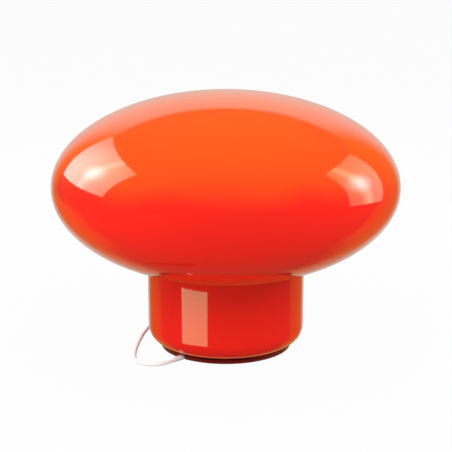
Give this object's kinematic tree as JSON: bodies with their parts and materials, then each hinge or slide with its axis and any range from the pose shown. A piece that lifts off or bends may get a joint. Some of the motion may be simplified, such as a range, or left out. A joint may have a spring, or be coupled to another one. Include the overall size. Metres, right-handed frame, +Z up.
{
  "type": "mushroom floor lamp",
  "caption": "Low mushroom floor lamp: one-piece cased-glass shade and neck that lifts off a lacquered pan with lampholder, bulb, flex, in-line switch and plug.",
  "frame": {"origin": "on the floor under the middle of the lamp", "axes": "+Z up along the axis of the glass, -Y towards the viewer of the picture, +X to the right"},
  "size_m": [0.4499, 0.4498, 0.337],
  "materials": {
    "felt": "pressed wool felt",
    "raw_steel": "mill finish",
    "maroon_lacquer": "gloss stove lacquer",
    "clear_rubber": "translucent silicone",
    "spring_steel": "satin",
    "zinc_steel": "bright zinc",
    "brass": "bare",
    "black_plastic": "moulded thermoset",
    "white_flex": "satin PVC sheath",
    "white_flex_plastic": "satin soft PVC",
    "brown_wire": "PVC core",
    "blue_wire": "PVC core",
    "porcelain": "glazed steatite",
    "opal_glass": "opal coated",
    "cap_aluminium": "rolled",
    "cap_glass": "black vitrite",
    "solder": "soldered",
    "clear_glass": "clear",
    "wire_metal": "drawn wire",
    "orange_cased_glass": "fire-polished orange-red glass over opal",
    "white_plastic": "moulded",
    "white_rocker": "moulded",
    "pin_brass": "turned, nickel washed"
  },
  "bodies": {
    "base": {"felt_pad": "felt", "ballast_plate": "raw_steel", "base_disc": "maroon_lacquer", "shade_gasket": "clear_rubber", "glass_clips": "spring_steel", "clip_rivets": "raw_steel", "holder_bracket": "zinc_steel", "bracket_screws": "zinc_steel", "bracket_nuts": "zinc_steel", "stem_tube": "brass", "stem_nuts": "brass", "stem_washers": "zinc_steel", "cord_clamp": "black_plastic", "clamp_screws": "zinc_steel", "inner_cord": "white_flex", "wire_live": "brown_wire", "wire_neutral": "blue_wire", "holder_cap": "black_plastic", "holder_insert": "porcelain", "holder_shell": "black_plastic", "screw_shell": "brass", "centre_contact": "brass", "terminal_blocks": "brass", "terminal_screws": "zinc_steel", "strain_relief": "white_flex_plastic", "cord_run": "white_flex", "cord_link": "white_flex", "cord_coil": "white_flex", "cord_tail": "white_flex", "switch_base": "white_plastic", "switch_cover": "white_plastic", "switch_pin": "zinc_steel", "switch_contacts": "brass", "switch_screws": "zinc_steel", "plug_boot": "white_flex_plastic", "plug_body": "white_plastic", "plug_pins": "pin_brass"},
    "glass": {"glass_shade": "orange_cased_glass"},
    "bulb": {"bulb_glass": "opal_glass", "bulb_cap": "cap_aluminium", "bulb_insulator": "cap_glass", "bulb_contact": "solder", "bulb_stem": "clear_glass", "bulb_filament": "wire_metal"},
    "rocker": {"switch_rocker": "white_rocker"}
  },
  "joints": [
    {"name": "glass_lift", "type": "slide", "parent": "base", "child": "glass", "axis": [0, 0, 1], "range_m": [0, 0.24]},
    {"name": "bulb_out", "type": "slide", "parent": "base", "child": "bulb", "axis": [0, 0, 1], "range_m": [0, 0.03]},
    {"name": "switch_rock", "type": "hinge", "parent": "base", "child": "rocker", "pos_m": [-0.022, 0.1232, 0.0152], "axis": [0, 1, 0], "range_deg": [0, 16]}
  ]
}
